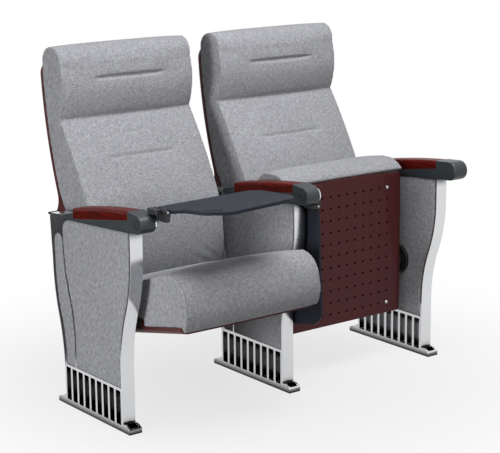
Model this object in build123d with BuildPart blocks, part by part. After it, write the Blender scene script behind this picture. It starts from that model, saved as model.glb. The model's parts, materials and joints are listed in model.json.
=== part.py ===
from build123d import *
import os
from math import cos, radians, sin, sqrt

# Two tip-up auditorium seats on three shared standards, with folding writing tablets.
# +X runs along the row, -Y is the way a sitter faces, +Z is up, in millimetres.
# The origin is on the floor, in the middle of the floor anchor holes.
# The left seat and tablet stand open, the right seat is tipped up and its tablet stowed.

os.makedirs("parts", exist_ok=True)

# Layout along the row
pitch = 580.0
standards = {"left": -pitch, "centre": 0.0, "right": pitch}
seats = {"left": -pitch / 2, "right": pitch / 2}

# Cast standard, seen from the side as (y, z)
standard_width = 42.0
foot_half = 196.0
toe_tip_height = 13.0
toe_root_height = 24.0
toe_swell_y = 4.0
toe_swell_z = 3.0
anchor_inset = 17.0
anchor_radius = 5.5
anchor_pocket_length = 24.0
anchor_pocket_width = 31.0
anchor_pocket_corner = 6.0
anchor_floor = 7.0
rail_low_y = -162.0
rail_high_y = -223.0
rail_curve_low_z = 190.0
rail_curve_high_z = 520.0
rear_low_y = 152.0
rear_high_y = 200.0
rear_curve_low_z = 110.0
rear_curve_high_z = 440.0
horn_front_y = 126.0
horn_front_z = 589.0
horn_rear_y = 209.0
horn_rear_z = 573.0
horn_corner = 8.0
rail_rim = 6.0
rear_rim = 14.0
top_rim = 3.0
web_thickness = 8.0

# Open grille at the bottom of the standard
grille_count = 9
grille_pitch = 34.0
grille_slot = 25.0
grille_low_z = 19.0
grille_high_z = 121.0
grille_bar = 9.0
grille_front_rim = 10.0
grille_corner = 3.0

# Rib between the two fabric panels of each side
rib_low_y = 85.0
rib_high_y = 138.0
rib_curve_low_z = 200.0
rib_curve_high_z = 532.0
rib_width = 6.0
panel_corner = 36.0
panel_corner_in = 9.0
panel_corner_drop = 11.0
rear_panel_top_z = 528.0
rear_panel_shoulder = 28.0
rear_panel_lean = 2.0
rear_tip_shift = 6.0
rear_tip_round = 7.5
panel_proud = 2.5
panel_clear = 0.4
panel_round = 4.0

# Armrest
arm_width = 54.0
arm_front_y = -226.0
arm_front_z = 598.0
arm_rear_y = 124.0
arm_rear_z = 578.0
arm_tail_height = 12.0
arm_step_height = 18.0
arm_nose_y = -311.0
arm_nose_top_z = 661.0
arm_nose_lift = 4.0
cap_front_y = -223.0
cap_front_low_z = 632.0
cap_front_high_z = 657.0
cap_rear_y = 66.0
cap_rear_low_z = 586.0
cap_rear_high_z = 618.0
cap_rise = 4.0
cap_round = 9.0
arm_round = 4.0

# Tablet pivot at the armrest's nose, an axis along X
pivot_y = -266.0
pivot_z = 626.0
nose_radius = 26.0
barrel_radius = 20.5
nose_cut = 6.2
bracket_gap = 1.0
barrel_start = arm_width / 2 - nose_cut
barrel_end = arm_width / 2 + bracket_gap
barrel_clear = 1.6
cone_length = 18.0
cone_end = barrel_end + cone_length
cone_tip_radius = 3.0
barrel_seat_gap = 0.1
pivot_pin_radius = 6.0
pivot_disc_radius = 13.5
pivot_disc_height = 3.0
pivot_pin_reach = 5.0
small_chamfer = 1.0
edge_chamfer = 1.5
running_clear = 0.05

# Tablet bracket and fold hinge, an axis along Y
ear_thickness = 12.0
fold_offset = 8.0
fold_x = barrel_end + fold_offset
fold_z = 663.0
fold_front_y = -329.0
fold_rear_y = -265.0
knuckle_radius = 6.5
knuckle_length = 16.0
knuckle_gap = 0.3
fold_pin_radius = 3.0
ledge_offset = 12.0
ledge_reach = fold_x + ledge_offset
ledge_thickness = 6.0
ledge_inset = 4.0
ledge_web = 2.0
bracket_low_z = 636.0
bracket_corner = 3.0
root_start = 12.0
root_gap = 6.5
root_end = fold_x - root_gap
root_front_y = -306.0
root_rear_y = -262.0
root_low_z = 655.2

# Writing tablet, opened flat
tablet_thickness = 11.0
tablet_root_gap = 10.0
tablet_root_x = fold_x + tablet_root_gap
tablet_tip_x = 430.0
tablet_neck_x = 80.0
tablet_shoulder_x = 100.0
tablet_wide_x = 166.0
tablet_back_y = -247.0
tablet_front_y = -448.0
tablet_neck_y = -346.0
tablet_shoulder_y = -404.0
tablet_skew = 36.0
tablet_lean = 34.0
tablet_back_corner = 55.0
tablet_front_corner = 45.0
tablet_side_corner = 60.0
tablet_shoulder_round = 60.0
tablet_neck_round = 20.0
tablet_edge_round = 3.0
pen_groove_length = 54.0
pen_groove_width = 7.0
pen_groove_depth = 3.0
pen_groove_x = 134.5
pen_groove_y = -405.0
pen_groove_turn = -24.0

# Seat hinge, an axis along X
hinge_y = -52.0
hinge_z = 305.0
seat_tilt_open = 12.0
seat_tilt_folded = 90.0
hinge_pin_radius = 8.0
hub_radius = 43.0
hub_thickness = 6.0
hub_seat_radius = 40.0
hub_boss_radius = 15.0
stud_radius = 4.0
stud_orbit = 21.0
stud_clear = 0.4
thrust_clear = 0.5

# Seat pan, moulded plywood, in seat coordinates: x along the row, s to the front, n up
seat_side_gap = 30.0
pan_half_width = pitch / 2 - standard_width / 2 - seat_side_gap
pan_thickness = 10.0
pan_face_n = -49.0
pan_rim_n = -5.0
pan_roll = 26.0
pan_rear_s = -155.0
pan_front_s = 299.0
rim_step_s = 118.0
pan_low_rim_n = -27.0
pan_bow = 11.0
pan_corner = 18.0
hole_rows = 11
hole_pitch_x = 33.7
hole_pitch_s = 38.0
hole_radius = 4.0
hole_centre_s = 70.0

# Steel frame and hinge plates of the seat
frame_thickness = 6.0
frame_side_gap = 8.0
frame_half_width = pan_half_width - pan_roll - frame_side_gap
frame_bar = 24.0
frame_rear_s = -146.0
frame_front_s = 282.0
frame_gusset = 42.0
plate_thickness = 5.5
plate_radius = 31.0
plate_front_s = 110.0
plate_rear_s = -70.0
plate_screw_inset = 14.0
screw_radius = 2.5
screw_head_radius = 5.5
screw_head_height = 2.4
screw_head_taper = 30.0

# Seat cushion
cushion_side_gap = 0.5
cushion_half_width = pan_half_width - cushion_side_gap
cushion_rear_s = -150.0
cushion_front_s = 350.0
cushion_nose_n = 36.0
cushion_top_n = 127.0
cushion_top_front_s = 274.0
lip_gap = 1.0
lip_front_s = 318.0
lip_n = -44.0
cushion_top_rear_s = -60.0
cushion_top_rear_n = 100.0
cushion_draw = 7.0
nose_under_s = 8.0
nose_under_n = -14.0
nose_over_s = 18.0
nose_over_n = 26.0
seat_dip_s = 110.0
seat_dip_n = 14.0
heel_round_s = 24.0
heel_round_n = 22.0
soft_clear = 0.3
# Where the crown of a cushion is drawn across its width, as shares of the half width
crown_stations = (-1, -0.88, -0.7, -0.4, 0, 0.4, 0.7, 0.88, 1)

# Backrest, seen from the side as (y, z)
back_half_width = 241.0
back_draw = 8.0
foot_round_y = 6.0
foot_round_z = 6.0
back_heel_drop = 24.0
back_foot_front = (110.0, 326.0)
back_foot_rear = (136.0, 326.0)
lumbar = (76.0, 460.0)
lumbar_top = (112.0, 612.0)
crease = (250.0, 843.0)
back_swell = 5.0
back_swell_lift = 2.0
head_top = (284.0, 1060.0)
head_front_drop = 60.0
head_front = (240.0, head_top[1] - head_front_drop)
head_swell = 15.0
brow_round_y = 12.0
brow_round_z = 15.0
nape_round = 14.0
channel_width = 264.0
channel_radius = 5.0
channel_sink = 4.0
head_channel_drop = 100.0
head_channel_z = head_top[1] - head_channel_drop
back_channel_z = 728.0

# Moulded shell behind the backrest
shell_half_width = 239.0
shell_thickness = 12.0
shell_top_drop = 50.0
shell_top = (360.0, head_top[1] - shell_top_drop)
shell_middle = (333.0, 796.0)
shell_low = (283.0, 618.0)
shell_foot_z = 562.0
shell_foot_rear_y = 292.0
shell_foot_depth = 50.0
shell_wedge_height = 8.4
shell_corner = 40.0

# Brackets that carry the backrest
back_bracket_thickness = 5.0
back_bracket_front_y = 150.0
back_bracket_low_z = 538.0
back_bracket_high_z = 574.0
back_bracket_bend_y = 204.0
flange_front_y = 242.0
flange_reach = 98.0
flange_thickness = 6.0
bolt_radius = 4.0
bolt_head_radius = 7.0
bolt_head_height = 5.0
bolt_depth = 14.0
bolt_inset = 15.0


def write(piece, name):
    """Label a finished piece and write it as one file."""
    piece.label = name
    export_step(piece, f"parts/{name}.step")


def s_curve(start, end):
    """Two equal arcs from start to end, upright at both ends."""
    middle = ((start[0] + end[0]) / 2, (start[1] + end[1]) / 2)
    upright = (0, 1) if end[1] > start[1] else (0, -1)
    first = TangentArc(start, middle, tangent=upright)
    TangentArc(middle, end, tangent=first % 1)


def arm_base(y):
    """Height of the sloping joint between a standard and its armrest."""
    return arm_front_z + (y - arm_front_y) * (arm_rear_z - arm_front_z) / (arm_rear_y - arm_front_y)


# Side outline of a standard, without its foot
with BuildSketch() as standard_face:
    with BuildLine():
        Line((rail_low_y, 0), (rail_low_y, rail_curve_low_z))
        s_curve((rail_low_y, rail_curve_low_z), (rail_high_y, rail_curve_high_z))
        Polyline(
            (rail_high_y, rail_curve_high_z),
            (rail_high_y, arm_base(rail_high_y)),
            (horn_front_y, arm_base(horn_front_y)),
            (horn_front_y, horn_front_z),
            (horn_rear_y - horn_corner, horn_rear_z + horn_corner),
            (horn_rear_y, horn_rear_z),
            (rear_high_y, rear_curve_high_z),
        )
        s_curve((rear_high_y, rear_curve_high_z), (rear_low_y, rear_curve_low_z))
        Polyline((rear_low_y, rear_curve_low_z), (rear_low_y, 0), (rail_low_y, 0))
    make_face()

# Side outline of the foot with its low rounded toes
with BuildSketch() as foot_face:
    with BuildLine():
        Polyline(
            (rail_low_y, toe_root_height),
            (rear_low_y, toe_root_height),
        )
        ThreePointArc(
            (rear_low_y, toe_root_height),
            (
                (rear_low_y + foot_half) / 2 + toe_swell_y,
                (toe_tip_height + toe_root_height) / 2 + toe_swell_z,
            ),
            (foot_half, toe_tip_height),
        )
        Polyline((foot_half, toe_tip_height), (foot_half, 0), (-foot_half, 0), (-foot_half, toe_tip_height))
        ThreePointArc(
            (-foot_half, toe_tip_height),
            (
                (rail_low_y - foot_half) / 2 - toe_swell_y,
                (toe_tip_height + toe_root_height) / 2 + toe_swell_z,
            ),
            (rail_low_y, toe_root_height),
        )
    make_face()

# Pocket for the main fabric panel
panel_base_z = grille_high_z + grille_bar
panel_front_low_y = rail_low_y + rail_rim
panel_front_high_y = rail_high_y + rail_rim
panel_head_y = rib_high_y - panel_corner
with BuildSketch() as main_pocket:
    with BuildLine():
        Line((panel_front_low_y, panel_base_z), (panel_front_low_y, rail_curve_low_z))
        s_curve((panel_front_low_y, rail_curve_low_z), (panel_front_high_y, rail_curve_high_z))
        panel_head_z = arm_base(panel_head_y) - top_rim
        Polyline(
            (panel_front_high_y, rail_curve_high_z),
            (panel_front_high_y, arm_base(panel_front_high_y) - top_rim),
            (panel_head_y, panel_head_z),
        )
        ThreePointArc(
            (panel_head_y, panel_head_z),
            (rib_high_y - panel_corner_in, panel_head_z - panel_corner_drop),
            (rib_high_y, rib_curve_high_z),
        )
        s_curve((rib_high_y, rib_curve_high_z), (rib_low_y, rib_curve_low_z))
        Polyline(
            (rib_low_y, rib_curve_low_z),
            (rib_low_y, panel_base_z),
            (panel_front_low_y, panel_base_z),
        )
    make_face()

# Pocket for the narrow rear panel, pointed at its top
rear_front_low_y = rib_low_y + rib_width
rear_front_high_y = rib_high_y + rib_width / 2
rear_shoulder_z = rear_panel_top_z - rear_panel_shoulder
with BuildSketch() as rear_pocket:
    with BuildLine():
        Line((rear_front_low_y, panel_base_z), (rear_front_low_y, rib_curve_low_z))
        s_curve((rear_front_low_y, rib_curve_low_z), (rear_front_high_y, rear_shoulder_z))
        rear_back_y = rear_high_y - rear_rim
        rear_tip = ((rear_front_high_y + rear_back_y) / 2 + rear_tip_shift, rear_panel_top_z)
        rear_shoulder = (rear_back_y + rear_panel_lean, rear_shoulder_z)
        ThreePointArc(
            (rear_front_high_y, rear_shoulder_z),
            (rear_front_high_y + rear_tip_round, rear_panel_top_z - rear_tip_round),
            rear_tip,
        )
        ThreePointArc(
            rear_tip,
            (rear_shoulder[0] - rear_tip_round, rear_panel_top_z - rear_tip_round),
            rear_shoulder,
        )
        Line(rear_shoulder, (rear_back_y, rear_curve_high_z))
        s_curve((rear_high_y - rear_rim, rear_curve_high_z), (rear_low_y - rear_rim, panel_base_z))
        Line((rear_low_y - rear_rim, panel_base_z), (rear_front_low_y, panel_base_z))
    make_face()

# Faces of the fabric panels, with an even gap to their pockets
with BuildSketch() as main_panel_face:
    add(main_pocket.sketch)
    offset(amount=-panel_clear)
with BuildSketch() as rear_panel_face:
    add(rear_pocket.sketch)
    offset(amount=-panel_clear)

hinge_sides = {"left": (1,), "centre": (-1, 1), "right": (-1,)}
standard_half = standard_width / 2
pocket_depth = (standard_width - web_thickness) / 2
anchor_y = foot_half - anchor_inset
grille_first_y = rail_low_y + grille_front_rim + grille_slot / 2
grille_height = grille_high_z - grille_low_z
grille_slots = [
    (grille_first_y + i * grille_pitch, grille_low_z + grille_height / 2) for i in range(grille_count)
]

# Bolts that hold the back brackets to the standards, and the brackets to the shells
bolt_z = (back_bracket_low_z + back_bracket_high_z) / 2
bolt_spots = [(y, bolt_z) for y in (back_bracket_front_y + bolt_inset, back_bracket_bend_y - bolt_inset)]
flange_bolt_y = (flange_front_y + shell_foot_rear_y) / 2
flange_bolt_x = pitch / 2 - flange_reach + bolt_inset

# Cast aluminium standards
for place, x in standards.items():
    with BuildPart() as standard:
        with BuildSketch(Plane.YZ.offset(x)):
            add(standard_face.sketch)
            add(foot_face.sketch)
        extrude(amount=standard_half, both=True)
        for side in (-1, 1):
            with BuildSketch(Plane.YZ.offset(x + side * standard_half)):
                add(main_pocket.sketch)
                add(rear_pocket.sketch)
            extrude(amount=-side * pocket_depth, mode=Mode.SUBTRACT)
        with BuildSketch(Plane.YZ.offset(x)):
            with Locations(*grille_slots):
                RectangleRounded(grille_slot, grille_height, grille_corner)
        extrude(amount=standard_half, both=True, mode=Mode.SUBTRACT)
        with BuildSketch(Plane.XY.offset(anchor_floor)):
            with Locations((x, -anchor_y), (x, anchor_y)):
                RectangleRounded(anchor_pocket_width, anchor_pocket_length, anchor_pocket_corner)
        extrude(amount=toe_root_height, mode=Mode.SUBTRACT)
        with BuildSketch(Plane.XY):
            with Locations((x, -anchor_y), (x, anchor_y)):
                Circle(anchor_radius)
        extrude(amount=anchor_floor, mode=Mode.SUBTRACT)
        for side in hinge_sides[place]:
            with BuildSketch(Plane.YZ.offset(x + side * standard_half)):
                with Locations((hinge_y, hinge_z)):
                    Circle(hub_seat_radius)
                    Circle(hinge_pin_radius + running_clear, mode=Mode.SUBTRACT)
            extrude(amount=-side * pocket_depth)
            with BuildSketch(Plane.YZ.offset(x + side * standard_half)):
                with Locations(*bolt_spots):
                    Circle(bolt_radius)
            extrude(amount=-side * bolt_depth, mode=Mode.SUBTRACT)
    write(standard.part, f"standard_{place}")

# Fabric panels on both faces of each standard, cut round a seat hub where there is one
panel_thickness = pocket_depth + panel_proud
panel_jobs = {"main": main_panel_face.sketch, "rear": rear_panel_face.sketch}
for place, x in standards.items():
    for side, hand in ((-1, "near"), (1, "far")):
        for kind, face in panel_jobs.items():
            with BuildPart() as panel:
                with BuildSketch(Plane.YZ.offset(x + side * web_thickness / 2)):
                    add(face)
                extrude(amount=side * panel_thickness)
                skin = panel.faces().sort_by(Axis.X)[0 if side < 0 else -1]
                fillet(skin.outer_wire().edges(), radius=panel_round)
                if kind == "main" and side in hinge_sides[place]:
                    with BuildSketch(Plane.YZ.offset(x + side * web_thickness / 2)):
                        with Locations((hinge_y, hinge_z)):
                            Circle(hub_radius + panel_clear)
                    extrude(amount=side * panel_thickness, mode=Mode.SUBTRACT)
            write(panel.part, f"{kind}_panel_{place}_{hand}")

# Armrest housings: the nose is plain on the right, and holds a tablet pivot on the others
for place, x in standards.items():
    has_tablet = place != "right"
    with BuildPart() as housing:
        with BuildSketch(Plane.YZ.offset(x)):
            with BuildLine():
                Line((arm_rear_y, arm_rear_z), (arm_front_y, arm_front_z))
                if has_tablet:
                    Line((arm_front_y, arm_front_z), (pivot_y, pivot_z - nose_radius))
                    ThreePointArc(
                        (pivot_y, pivot_z - nose_radius),
                        (pivot_y - nose_radius, pivot_z),
                        (pivot_y, pivot_z + nose_radius),
                    )
                    Line((pivot_y, pivot_z + nose_radius), (cap_front_y, cap_front_high_z))
                else:
                    nose_low = (arm_nose_y + nose_radius, arm_front_z + arm_nose_lift)
                    nose_high = (arm_nose_y + nose_radius, arm_nose_top_z)
                    Line((arm_front_y, arm_front_z), nose_low)
                    ThreePointArc(nose_low, (arm_nose_y, (nose_low[1] + nose_high[1]) / 2), nose_high)
                    Line(nose_high, (cap_front_y, cap_front_high_z))
                Polyline(
                    (cap_front_y, cap_front_high_z),
                    (cap_front_y, cap_front_low_z),
                    (cap_rear_y, cap_rear_low_z),
                    (cap_rear_y, cap_rear_low_z + arm_step_height),
                    (arm_rear_y, arm_rear_z + arm_tail_height),
                    (arm_rear_y, arm_rear_z),
                )
            make_face()
        extrude(amount=arm_width / 2, both=True)
        if has_tablet:
            recess_length = arm_width / 2 - barrel_start + barrel_clear
            recess_radius = barrel_radius + barrel_clear
            with BuildSketch(Plane.YZ.offset(x + barrel_start - barrel_clear / 4)):
                with Locations((pivot_y, pivot_z)):
                    Circle(recess_radius)
                with Locations((pivot_y - nose_radius, pivot_z)):
                    Rectangle(2 * nose_radius, 4 * nose_radius)
            extrude(amount=recess_length, mode=Mode.SUBTRACT)
            with BuildSketch(Plane.YZ.offset(x - arm_width / 2)):
                with Locations((pivot_y, pivot_z)):
                    Circle(pivot_pin_radius + running_clear)
            extrude(amount=arm_width, mode=Mode.SUBTRACT)
        else:
            nose_edges = housing.edges().filter_by(GeomType.CIRCLE)
            fillet(nose_edges, radius=arm_round)
    write(housing.part, f"arm_housing_{place}")

# Polished wood caps, crowned along their length and rounded along both sides
for place, x in standards.items():
    with BuildPart() as cap:
        with BuildSketch(Plane.YZ.offset(x)):
            with BuildLine():
                middle_y = (cap_front_y + cap_rear_y) / 2
                middle_z = (cap_front_high_z + cap_rear_high_z) / 2 + cap_rise
                Polyline(
                    (cap_front_y, cap_front_high_z),
                    (cap_front_y, cap_front_low_z),
                    (cap_rear_y, cap_rear_low_z),
                    (cap_rear_y, cap_rear_high_z),
                )
                ThreePointArc(
                    (cap_rear_y, cap_rear_high_z), (middle_y, middle_z), (cap_front_y, cap_front_high_z)
                )
            make_face()
        extrude(amount=arm_width / 2, both=True)
        fillet(cap.edges().filter_by(GeomType.CIRCLE), radius=cap_round)
    write(cap.part, f"arm_cap_{place}")

# Tablet sets: the left one is open, the right one is folded up and swung down beside its standard
tablet_low_z = fold_z - tablet_thickness / 2
tongue_front_y = fold_front_y + knuckle_length + knuckle_gap
tongue_rear_y = fold_rear_y - knuckle_length - knuckle_gap
pivot_axis = Axis((0, pivot_y, pivot_z), (1, 0, 0))
for hand, x in (("left", standards["left"]), ("right", standards["centre"])):
    fold_axis = Axis((x + fold_x, 0, fold_z), (0, -1, 0))
    swing = 180 if hand == "right" else 0
    fold = 90 if hand == "right" else 0

    with BuildPart() as pivot_pin:
        with BuildSketch(Plane.YZ.offset(x - arm_width / 2)):
            with Locations((pivot_y, pivot_z)):
                Circle(pivot_disc_radius)
        extrude(amount=-pivot_disc_height)
        chamfer(pivot_pin.faces().sort_by(Axis.X)[0].edges(), length=small_chamfer)
        with BuildSketch(Plane.YZ.offset(x - arm_width / 2)):
            with Locations((pivot_y, pivot_z)):
                Circle(pivot_pin_radius)
        extrude(amount=arm_width / 2 + barrel_end + pivot_pin_reach)
    write(pivot_pin.part, f"pivot_pin_{hand}")

    with BuildPart() as barrel:
        with BuildSketch(Plane.YZ.offset(x + barrel_start)):
            with Locations((pivot_y, pivot_z)):
                Circle(barrel_radius)
        extrude(amount=barrel_end - barrel_start)
        with BuildSketch(Plane.YZ.offset(x + barrel_end)):
            with Locations((pivot_y, pivot_z)):
                Circle(barrel_radius)
        with BuildSketch(Plane.YZ.offset(x + cone_end)):
            with Locations((pivot_y, pivot_z)):
                Circle(cone_tip_radius)
        loft()
        with BuildSketch(Plane.YZ.offset(x + barrel_end - barrel_seat_gap)):
            with Locations((pivot_y, bracket_low_z + barrel_radius)):
                Rectangle(4 * barrel_radius, 2 * barrel_radius)
        extrude(amount=cone_end, mode=Mode.SUBTRACT)
        with BuildSketch(Plane.YZ.offset(x + barrel_start)):
            with Locations((pivot_y, pivot_z)):
                Circle(pivot_pin_radius + running_clear)
        extrude(amount=barrel_end + pivot_pin_reach + running_clear - barrel_start, mode=Mode.SUBTRACT)
    write(barrel.part.rotate(pivot_axis, swing), f"tablet_barrel_{hand}")

    with BuildPart() as bracket:
        with BuildSketch(Plane.YZ.offset(x + barrel_end)):
            bracket_top_z = tablet_low_z - knuckle_gap
            with Locations(((fold_front_y + fold_rear_y) / 2, (bracket_low_z + bracket_top_z) / 2)):
                RectangleRounded(fold_rear_y - fold_front_y, bracket_top_z - bracket_low_z, bracket_corner)
        extrude(amount=ear_thickness)
        with BuildSketch(Plane.XY.offset(root_low_z)):
            with Locations((x + root_start, root_front_y)):
                Rectangle(root_end - root_start, root_rear_y - root_front_y, align=(Align.MIN, Align.MIN))
        extrude(amount=tablet_low_z + tablet_thickness - root_low_z)
        fillet(bracket.edges().filter_by(Axis.Z).group_by(Axis.X)[0], radius=bracket_corner)
        ledge_start = x + barrel_end + ear_thickness
        with BuildSketch(Plane.XZ.offset(-fold_front_y - ledge_inset)):
            Polygon(
                (ledge_start, bracket_top_z),
                (ledge_start, bracket_low_z),
                (ledge_start + ledge_web, bracket_low_z),
                (x + ledge_reach, bracket_top_z - ledge_thickness),
                (x + ledge_reach, bracket_top_z),
                align=None,
            )
        extrude(amount=-(fold_rear_y - fold_front_y - 2 * ledge_inset))
        for lug_start in (fold_front_y, fold_rear_y - knuckle_length):
            with BuildSketch(Plane.XZ.offset(-lug_start)):
                with Locations((x + fold_x, fold_z)):
                    Circle(knuckle_radius)
                with Locations((x + fold_x, (fold_z + bracket_low_z) / 2)):
                    Rectangle(2 * knuckle_radius, fold_z - bracket_low_z)
            extrude(amount=-knuckle_length)
        with BuildSketch(Plane.XZ.offset(-fold_front_y)):
            with Locations((x + fold_x, fold_z)):
                Circle(fold_pin_radius)
        extrude(amount=-(fold_rear_y - fold_front_y), mode=Mode.SUBTRACT)
    write(bracket.part.rotate(pivot_axis, swing), f"tablet_bracket_{hand}")

    with BuildPart() as fold_pin:
        with BuildSketch(Plane.XZ.offset(-fold_front_y)):
            with Locations((x + fold_x, fold_z)):
                Circle(fold_pin_radius)
        extrude(amount=-(fold_rear_y - fold_front_y))
    write(fold_pin.part.rotate(pivot_axis, swing), f"fold_pin_{hand}")

    with BuildPart() as board:
        with BuildSketch(Plane.XY.offset(tablet_low_z)):
            with BuildLine():
                FilletPolyline(
                    (x + tablet_root_x, fold_rear_y),
                    (x + tablet_tip_x - tablet_lean, tablet_back_y),
                    (x + tablet_tip_x, tablet_front_y + tablet_skew),
                    (x + tablet_wide_x, tablet_front_y),
                    (x + tablet_shoulder_x, tablet_shoulder_y),
                    (x + tablet_neck_x, tablet_neck_y),
                    (x + tablet_root_x, fold_front_y),
                    radius=[
                        tablet_edge_round,
                        tablet_back_corner,
                        tablet_front_corner,
                        tablet_side_corner,
                        tablet_shoulder_round,
                        tablet_neck_round,
                        tablet_edge_round,
                    ],
                    close=True,
                )
            make_face()
        extrude(amount=tablet_thickness)
        fillet(board.faces().filter_by(Axis.Z).edges(), radius=tablet_edge_round)
        with BuildSketch(Plane.XZ.offset(-tongue_front_y)):
            with Locations((x + fold_x, fold_z)):
                Circle(tablet_thickness / 2)
            with Locations((x + (fold_x + tablet_root_x + tablet_edge_round) / 2, fold_z)):
                Rectangle(tablet_root_x + tablet_edge_round - fold_x, tablet_thickness)
        extrude(amount=-(tongue_rear_y - tongue_front_y))
        with BuildSketch(Plane.XZ.offset(-tongue_front_y)):
            with Locations((x + fold_x, fold_z)):
                Circle(fold_pin_radius + running_clear)
        extrude(amount=-(tongue_rear_y - tongue_front_y), mode=Mode.SUBTRACT)
        with BuildSketch(Plane.XY.offset(tablet_low_z + tablet_thickness)):
            with Locations((x + pen_groove_x, pen_groove_y)):
                SlotOverall(pen_groove_length, pen_groove_width, rotation=pen_groove_turn)
        extrude(amount=-pen_groove_depth, mode=Mode.SUBTRACT)
    write(board.part.rotate(fold_axis, fold).rotate(pivot_axis, swing), f"tablet_board_{hand}")

# Seats: the same pieces built on a tilted set of axes, open on the left and folded on the right
seat_tilt = {"left": seat_tilt_open, "right": seat_tilt_folded}
plate_outer = pan_half_width + plate_thickness
hub_start = pitch / 2 - standard_half
pan_inner_n = pan_face_n + pan_thickness
stud_angle = -(seat_tilt_open + seat_tilt_folded) / 2
stud_swing = seat_tilt_folded - seat_tilt_open
for hand, x in seats.items():
    tilt = radians(seat_tilt[hand])
    ahead = Vector(0, -cos(tilt), sin(tilt))
    above = Vector(0, sin(tilt), cos(tilt))
    hinge = Vector(x, hinge_y, hinge_z)
    # across looks along the seat's depth, plan looks down on it and profile looks along the row
    across = Plane(hinge + ahead * pan_rear_s, x_dir=(1, 0, 0), z_dir=ahead)
    plan = Plane(hinge, x_dir=(1, 0, 0), z_dir=above * -1)
    profile = Plane(hinge, x_dir=ahead, z_dir=(-1, 0, 0))

    # Moulded pan: rolled up along both sides, bowed at the front and perforated
    grid = [
        ((i - (hole_rows - 1) / 2) * hole_pitch_x, hole_centre_s + (j - (hole_rows - 1) / 2) * hole_pitch_s)
        for i in range(hole_rows)
        for j in range(hole_rows)
    ]
    edge_x = (hole_rows - 1) / 2 * hole_pitch_x
    edge_s = (hole_rows - 1) / 2 * hole_pitch_s
    corners = [(a * edge_x, hole_centre_s + b * edge_s) for a in (-1, 1) for b in (-1, 1)]
    inner_half = pan_half_width - pan_thickness
    flat_half = pan_half_width - pan_roll
    inner_roll = pan_roll - pan_thickness
    roll_n = pan_face_n + pan_roll
    bend = cos(radians(45))
    with BuildPart() as pan:
        with BuildSketch(across):
            with BuildLine():
                for turn in (-1, 1):
                    Line((turn * pan_half_width, pan_rim_n), (turn * pan_half_width, roll_n))
                    ThreePointArc(
                        (turn * pan_half_width, roll_n),
                        (turn * (flat_half + pan_roll * bend), roll_n - pan_roll * bend),
                        (turn * flat_half, pan_face_n),
                    )
                    Line((turn * inner_half, pan_rim_n), (turn * inner_half, roll_n))
                    ThreePointArc(
                        (turn * inner_half, roll_n),
                        (turn * (flat_half + inner_roll * bend), roll_n - inner_roll * bend),
                        (turn * flat_half, pan_inner_n),
                    )
                    Line((turn * pan_half_width, pan_rim_n), (turn * inner_half, pan_rim_n))
                Line((-flat_half, pan_face_n), (flat_half, pan_face_n))
                Line((-flat_half, pan_inner_n), (flat_half, pan_inner_n))
            make_face()
        extrude(amount=pan_front_s + pan_bow - pan_rear_s)
        with BuildSketch(plan):
            with BuildLine():
                Polyline(
                    (pan_half_width, pan_front_s),
                    (pan_half_width, pan_rear_s),
                    (-pan_half_width, pan_rear_s),
                    (-pan_half_width, pan_front_s),
                )
                ThreePointArc(
                    (-pan_half_width, pan_front_s), (0, pan_front_s + pan_bow), (pan_half_width, pan_front_s)
                )
            make_face()
            fillet(vertices(), radius=pan_corner)
        extrude(amount=-2 * pan_face_n, both=True, mode=Mode.INTERSECT)
        with BuildSketch(profile):
            with Locations((rim_step_s, pan_low_rim_n)):
                Rectangle(pan_front_s, -2 * pan_low_rim_n, align=(Align.MIN, Align.MIN))
        extrude(amount=pan_half_width, both=True, mode=Mode.SUBTRACT)
        with BuildSketch(plan):
            with Locations(*[spot for spot in grid if spot not in corners]):
                Circle(hole_radius)
            with Locations(*corners):
                Circle(screw_radius)
        extrude(amount=-2 * pan_face_n, mode=Mode.SUBTRACT)
    write(pan.part, f"seat_pan_{hand}")

    # Welded steel ring with gusseted corners, lying in the pan
    ring_length = frame_front_s - frame_rear_s
    ring_centre = (0, (frame_front_s + frame_rear_s) / 2)
    gap_x = frame_half_width - frame_bar
    gap_s = ring_length / 2 - frame_bar
    ring_gap = [
        (a * (gap_x - cut_x), b * (gap_s - cut_s))
        for a, b, cuts in (
            (1, 1, ((frame_gusset, 0), (0, frame_gusset))),
            (1, -1, ((0, frame_gusset), (frame_gusset, 0))),
            (-1, -1, ((frame_gusset, 0), (0, frame_gusset))),
            (-1, 1, ((0, frame_gusset), (frame_gusset, 0))),
        )
        for cut_x, cut_s in cuts
    ]
    with BuildPart() as ring:
        with BuildSketch(plan.offset(-pan_inner_n)):
            with Locations(ring_centre):
                Rectangle(2 * frame_half_width, ring_length)
                Polygon(*ring_gap, align=None, mode=Mode.SUBTRACT)
            with Locations(*corners):
                Circle(screw_radius, mode=Mode.SUBTRACT)
        extrude(amount=-frame_thickness)
    write(ring.part, f"seat_frame_{hand}")

    # Hinge plates on the pan's sides, with a curved slot that limits the tip
    leg_middle = ((plate_front_s + plate_rear_s) / 2, (pan_rim_n + roll_n) / 2)
    leg_size = (plate_front_s - plate_rear_s, pan_rim_n - roll_n)
    plate_screws = [
        (s, leg_middle[1]) for s in (plate_front_s - plate_screw_inset, plate_rear_s + plate_screw_inset)
    ]
    slot_path = CenterArc((0, 0), stud_orbit, 180 - stud_swing / 2, stud_swing)
    for turn, side in ((-1, "near"), (1, "far")):
        with BuildPart() as plate:
            with BuildSketch(profile.offset(-turn * pan_half_width)):
                Circle(plate_radius)
                with Locations(leg_middle):
                    Rectangle(*leg_size)
                Circle(hinge_pin_radius + running_clear, mode=Mode.SUBTRACT)
                SlotArc(slot_path, height=2 * (stud_radius + stud_clear), mode=Mode.SUBTRACT)
                with Locations(*plate_screws):
                    Circle(screw_radius, mode=Mode.SUBTRACT)
            extrude(amount=-turn * plate_thickness)
        write(plate.part, f"hinge_plate_{hand}_{side}")

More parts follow.
